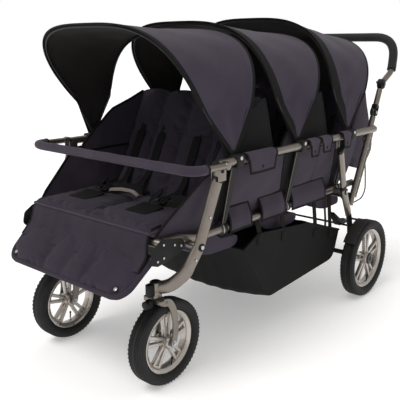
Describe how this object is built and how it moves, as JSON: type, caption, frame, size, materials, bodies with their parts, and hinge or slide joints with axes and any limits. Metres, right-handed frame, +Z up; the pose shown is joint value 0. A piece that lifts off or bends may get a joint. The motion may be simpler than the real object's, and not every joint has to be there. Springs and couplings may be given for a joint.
{
  "type": "six-seat stroller",
  "caption": "Group stroller: rows of side-by-side seats in line on a folding tube frame, with separate canopies, bumper bar, storage basket and swivelling front wheels.",
  "frame": {"origin": "centre of the bounding box's base, on the floor", "axes": "front faces -Y, +X is the stroller's own left, +Z up"},
  "size_m": [0.784, 1.517, 1.0441],
  "materials": {
    "frame_tube": "satin champagne anodised tube",
    "black_plastic": "fine-textured moulded plastic",
    "navy_fabric": "woven polyester, muted navy",
    "black_fabric": "woven nylon, black",
    "foam": "soft foam sleeve",
    "tyre": "ribbed rubber",
    "wheel_rim": "metallic-painted moulded rim",
    "bow_wire": "black-coated spring steel",
    "cable_sheath": "smooth cable sheath"
  },
  "bodies": {
    "seat_frame": {"left_upper_rail": "frame_tube", "left_lower_rail": "frame_tube", "left_push_bar": "frame_tube", "left_side_strut_1": "black_plastic", "left_side_strut_2": "black_plastic", "left_side_strut_3": "black_plastic", "right_upper_rail": "frame_tube", "right_lower_rail": "frame_tube", "right_push_bar": "frame_tube", "right_side_strut_1": "black_plastic", "right_side_strut_2": "black_plastic", "right_side_strut_3": "black_plastic", "knee_cross_tube": "frame_tube", "rear_cross_tube": "frame_tube", "seat_1": "navy_fabric", "seat_2": "navy_fabric", "seat_3": "navy_fabric", "storage_basket": "black_fabric", "brake_cable": "cable_sheath", "canopy_1_rear_bow": "bow_wire", "canopy_2_rear_bow": "bow_wire", "canopy_3_rear_bow": "bow_wire", "canopy_1_fabric": "navy_fabric", "canopy_2_fabric": "navy_fabric", "canopy_3_fabric": "navy_fabric"},
    "rear_legs": {"left_rear_leg": "frame_tube", "right_rear_leg": "frame_tube", "rear_axle": "black_plastic"},
    "left_front_leg": {"left_front_leg": "frame_tube"},
    "left_caster": {"left_caster_fork": "frame_tube"},
    "left_swivel_lock": {"left_swivel_lock": "black_plastic"},
    "left_front_wheel": {"left_front_tyre": "tyre", "left_front_rim": "wheel_rim"},
    "left_rear_wheel": {"left_rear_tyre": "tyre", "left_rear_rim": "wheel_rim"},
    "left_brake_pin": {"left_brake_pin": "frame_tube"},
    "left_tilt_button": {"left_tilt_button": "black_plastic"},
    "right_front_leg": {"right_front_leg": "frame_tube"},
    "right_caster": {"right_caster_fork": "frame_tube"},
    "right_swivel_lock": {"right_swivel_lock": "black_plastic"},
    "right_front_wheel": {"right_front_tyre": "tyre", "right_front_rim": "wheel_rim"},
    "right_rear_wheel": {"right_rear_tyre": "tyre", "right_rear_rim": "wheel_rim"},
    "right_brake_pin": {"right_brake_pin": "frame_tube"},
    "right_tilt_button": {"right_tilt_button": "black_plastic"},
    "brake_pedal": {"brake_bar": "black_plastic"},
    "bumper": {"bumper_tube": "frame_tube", "bumper_pad": "navy_fabric"},
    "handle_arms": {"left_handle_arm": "black_plastic", "right_handle_arm": "black_plastic"},
    "handle": {"handle_tube": "frame_tube", "handle_grip": "foam"},
    "footrest": {"footrest": "navy_fabric"},
    "backrest_1": {"backrest_1": "navy_fabric"},
    "canopy_1": {"canopy_1_front_bow": "bow_wire"},
    "backrest_2": {"backrest_2": "navy_fabric"},
    "canopy_2": {"canopy_2_front_bow": "bow_wire"},
    "backrest_3": {"backrest_3": "navy_fabric"},
    "canopy_3": {"canopy_3_front_bow": "bow_wire"}
  },
  "joints": [
    {"name": "frame_fold", "type": "hinge", "parent": "seat_frame", "child": "left_front_leg", "pos_m": [0.312, -0.51781, 0.418], "axis": [1, 0, 0], "range_deg": [0, 50], "deforming": ["storage_basket"]},
    {"name": "right_leg_fold", "type": "hinge", "parent": "seat_frame", "child": "right_front_leg", "pos_m": [-0.312, -0.51781, 0.418], "axis": [1, 0, 0], "range_deg": [0, 50]},
    {"name": "rear_legs_fold", "type": "hinge", "parent": "seat_frame", "child": "rear_legs", "pos_m": [0, 0.29119, 0.427], "axis": [-1, 0, 0], "range_deg": [0, 50]},
    {"name": "left_caster_swivel", "type": "hinge", "parent": "left_front_leg", "child": "left_caster", "pos_m": [0.225, -0.60081, 0.27], "axis": [0, 0, 1], "continuous": true},
    {"name": "left_swivel_lock_slide", "type": "slide", "parent": "left_caster", "child": "left_swivel_lock", "axis": [0, 0, 1], "range_m": [0, 0.005]},
    {"name": "left_front_wheel_spin", "type": "hinge", "parent": "left_caster", "child": "left_front_wheel", "pos_m": [0.225, -0.56681, 0.128], "axis": [1, 0, 0], "continuous": true},
    {"name": "left_rear_wheel_spin", "type": "hinge", "parent": "rear_legs", "child": "left_rear_wheel", "pos_m": [0.365, 0.40219, 0.15], "axis": [1, 0, 0], "continuous": true},
    {"name": "right_caster_swivel", "type": "hinge", "parent": "right_front_leg", "child": "right_caster", "pos_m": [-0.225, -0.60081, 0.27], "axis": [0, 0, 1], "continuous": true},
    {"name": "right_swivel_lock_slide", "type": "slide", "parent": "right_caster", "child": "right_swivel_lock", "axis": [0, 0, 1], "range_m": [0, 0.005]},
    {"name": "right_front_wheel_spin", "type": "hinge", "parent": "right_caster", "child": "right_front_wheel", "pos_m": [-0.225, -0.56681, 0.128], "axis": [1, 0, 0], "continuous": true},
    {"name": "right_rear_wheel_spin", "type": "hinge", "parent": "rear_legs", "child": "right_rear_wheel", "pos_m": [-0.365, 0.40219, 0.15], "axis": [1, 0, 0], "continuous": true},
    {"name": "brake_pedal_hinge", "type": "hinge", "parent": "rear_legs", "child": "brake_pedal", "pos_m": [0, 0.38419, 0.27], "axis": [-1, 0, 0], "range_deg": [0, 20]},
    {"name": "left_brake_pin_slide", "type": "slide", "parent": "rear_legs", "child": "left_brake_pin", "axis": [1, 0, 0], "range_m": [0, 0.016]},
    {"name": "right_brake_pin_slide", "type": "slide", "parent": "rear_legs", "child": "right_brake_pin", "axis": [-1, 0, 0], "range_m": [0, 0.016]},
    {"name": "bumper_lift", "type": "hinge", "parent": "seat_frame", "child": "bumper", "pos_m": [0, -0.44581, 0.637], "axis": [-1, 0, 0], "range_deg": [0, 60]},
    {"name": "handle_fold", "type": "hinge", "parent": "seat_frame", "child": "handle_arms", "pos_m": [0, 0.55419, 0.696], "axis": [-1, 0, 0], "range_deg": [0, 100]},
    {"name": "handle_tilt", "type": "hinge", "parent": "handle_arms", "child": "handle", "pos_m": [0, 0.59919, 0.802], "axis": [1, 0, 0], "range_deg": [-35, 35]},
    {"name": "left_tilt_button_press", "type": "slide", "parent": "handle", "child": "left_tilt_button", "axis": [-1, 0, 0], "range_m": [0, 0.004], "stiffness_N_per_m": 400},
    {"name": "right_tilt_button_press", "type": "slide", "parent": "handle", "child": "right_tilt_button", "axis": [1, 0, 0], "range_m": [0, 0.004], "stiffness_N_per_m": 400},
    {"name": "backrest_1_recline", "type": "hinge", "parent": "seat_frame", "child": "backrest_1", "pos_m": [0, -0.33081, 0.43], "axis": [-1, 0, 0], "range_deg": [0, 25]},
    {"name": "canopy_1_fold", "type": "hinge", "parent": "seat_frame", "child": "canopy_1", "pos_m": [0, -0.36581, 0.645], "axis": [-1, 0, 0], "range_deg": [0, 45], "deforming": ["canopy_1_fabric"]},
    {"name": "backrest_2_recline", "type": "hinge", "parent": "seat_frame", "child": "backrest_2", "pos_m": [0, 0.00919, 0.43], "axis": [-1, 0, 0], "range_deg": [0, 25]},
    {"name": "canopy_2_fold", "type": "hinge", "parent": "seat_frame", "child": "canopy_2", "pos_m": [0, -0.02581, 0.645], "axis": [-1, 0, 0], "range_deg": [0, 45], "deforming": ["canopy_2_fabric"]},
    {"name": "backrest_3_recline", "type": "hinge", "parent": "seat_frame", "child": "backrest_3", "pos_m": [0, 0.34919, 0.43], "axis": [-1, 0, 0], "range_deg": [0, 25]},
    {"name": "canopy_3_fold", "type": "hinge", "parent": "seat_frame", "child": "canopy_3", "pos_m": [0, 0.31419, 0.645], "axis": [-1, 0, 0], "range_deg": [0, 45], "deforming": ["canopy_3_fabric"]},
    {"name": "footrest_lift", "type": "hinge", "parent": "seat_frame", "child": "footrest", "pos_m": [0, -0.65381, 0.406], "axis": [-1, 0, 0], "range_deg": [-20, 40]}
  ],
  "couplings": [
    {"joint": "right_leg_fold", "follows": "frame_fold", "ratio": 1},
    {"joint": "rear_legs_fold", "follows": "frame_fold", "ratio": 1},
    {"joint": "left_brake_pin_slide", "follows": "brake_pedal_hinge", "m_per_rad": 0.04583},
    {"joint": "right_brake_pin_slide", "follows": "brake_pedal_hinge", "m_per_rad": 0.04583}
  ]
}
